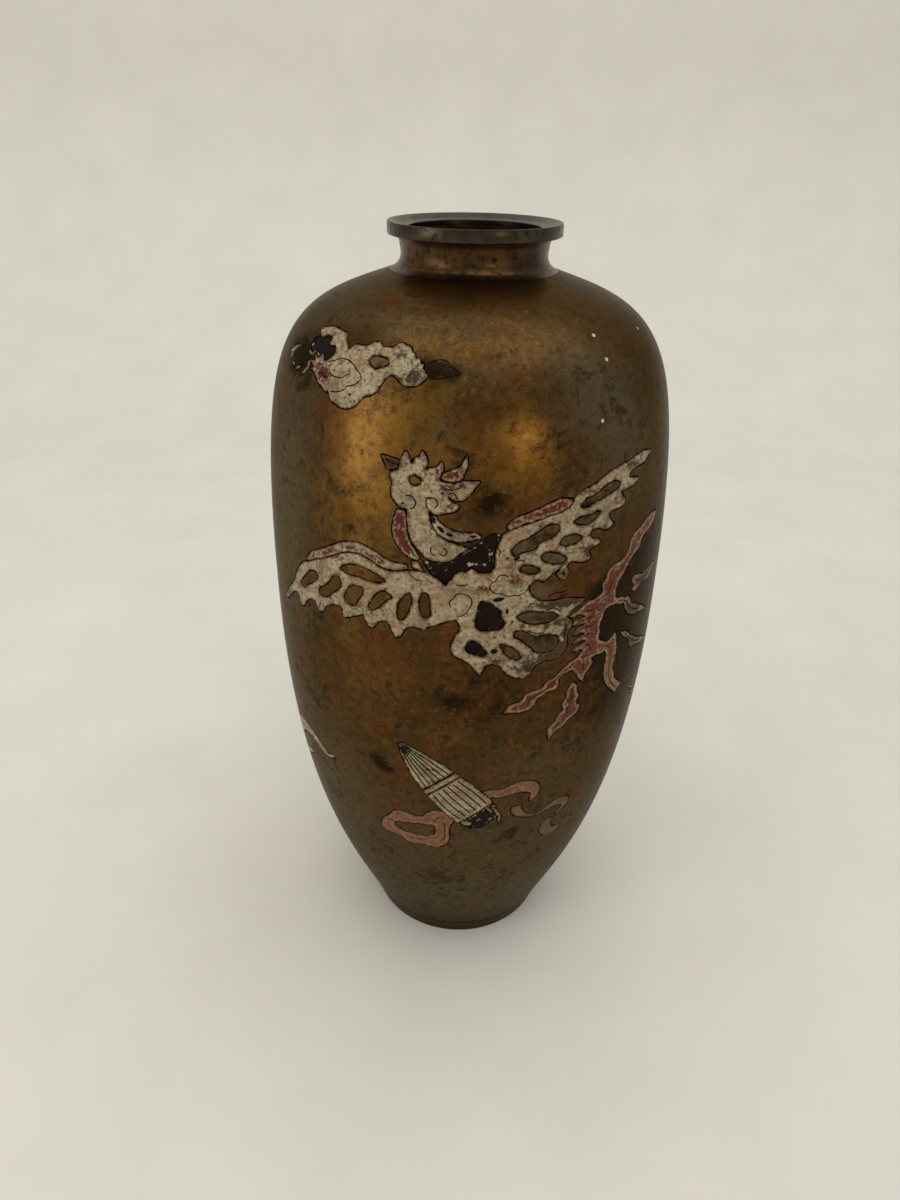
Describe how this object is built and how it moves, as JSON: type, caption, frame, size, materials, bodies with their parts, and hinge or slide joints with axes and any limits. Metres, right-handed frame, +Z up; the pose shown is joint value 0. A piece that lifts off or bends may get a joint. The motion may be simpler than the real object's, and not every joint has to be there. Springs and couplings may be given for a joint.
{
  "type": "vase",
  "caption": "Tall shouldered copper vase with a short waisted neck, dished lip, footed base and inlaid plaques bedded in its wall.",
  "frame": {"origin": "centre of the foot plane, on the vase axis", "axes": "+Z up the axis, -Y towards the side that carries the phoenix, +X to the viewer's right"},
  "size_m": [0.1082, 0.1082, 0.216],
  "materials": {
    "patina_copper": "semi-gloss brown, olive and golden patina on copper",
    "rim_bronze": "darker grey-brown bronze, worn smooth",
    "cream_inlay": "mottled off-white inlay, satin",
    "pink_inlay": "mottled pink and rust inlay, satin",
    "red_inlay": "brick red inlay with pale edges, satin",
    "dark_bed": "black bedding lacquer left where the inlay is lost"
  },
  "bodies": {
    "root": {"body_shell": "patina_copper", "neck_collar": "patina_copper", "foot_ring": "patina_copper", "base_plate": "patina_copper", "mouth_rim": "rim_bronze", "cloud_head": "cream_inlay", "cloud_curl": "cream_inlay", "cloud_bank": "cream_inlay", "cloud_wisp": "cream_inlay", "streamer_upper": "cream_inlay", "streamer_lower": "cream_inlay", "phoenix_head": "cream_inlay", "phoenix_mane": "cream_inlay", "phoenix_neck": "cream_inlay", "left_wing": "cream_inlay", "right_wing": "cream_inlay", "phoenix_plume": "cream_inlay", "bundle_reeds_upper": "cream_inlay", "bundle_tie": "cream_inlay", "bundle_reeds_lower": "cream_inlay", "left_wing_strip": "pink_inlay", "tail_root": "pink_inlay", "tail_feather_upper": "pink_inlay", "tail_feather_lower": "pink_inlay", "tail_feather_drop": "pink_inlay", "tail_feather_curl": "pink_inlay", "tail_feather_side": "pink_inlay", "tail_feather_far": "pink_inlay", "tail_feather_back": "pink_inlay", "ribbon_loop": "pink_inlay", "ribbon_bow": "pink_inlay", "ribbon_end": "pink_inlay", "ribbon_tail": "pink_inlay", "phoenix_crest": "red_inlay", "phoenix_throat": "red_inlay", "right_wing_strip": "red_inlay", "cloud_lost_bed": "dark_bed", "phoenix_breast_bed": "dark_bed", "bundle_end_cap": "dark_bed"}
  },
  "joints": []
}
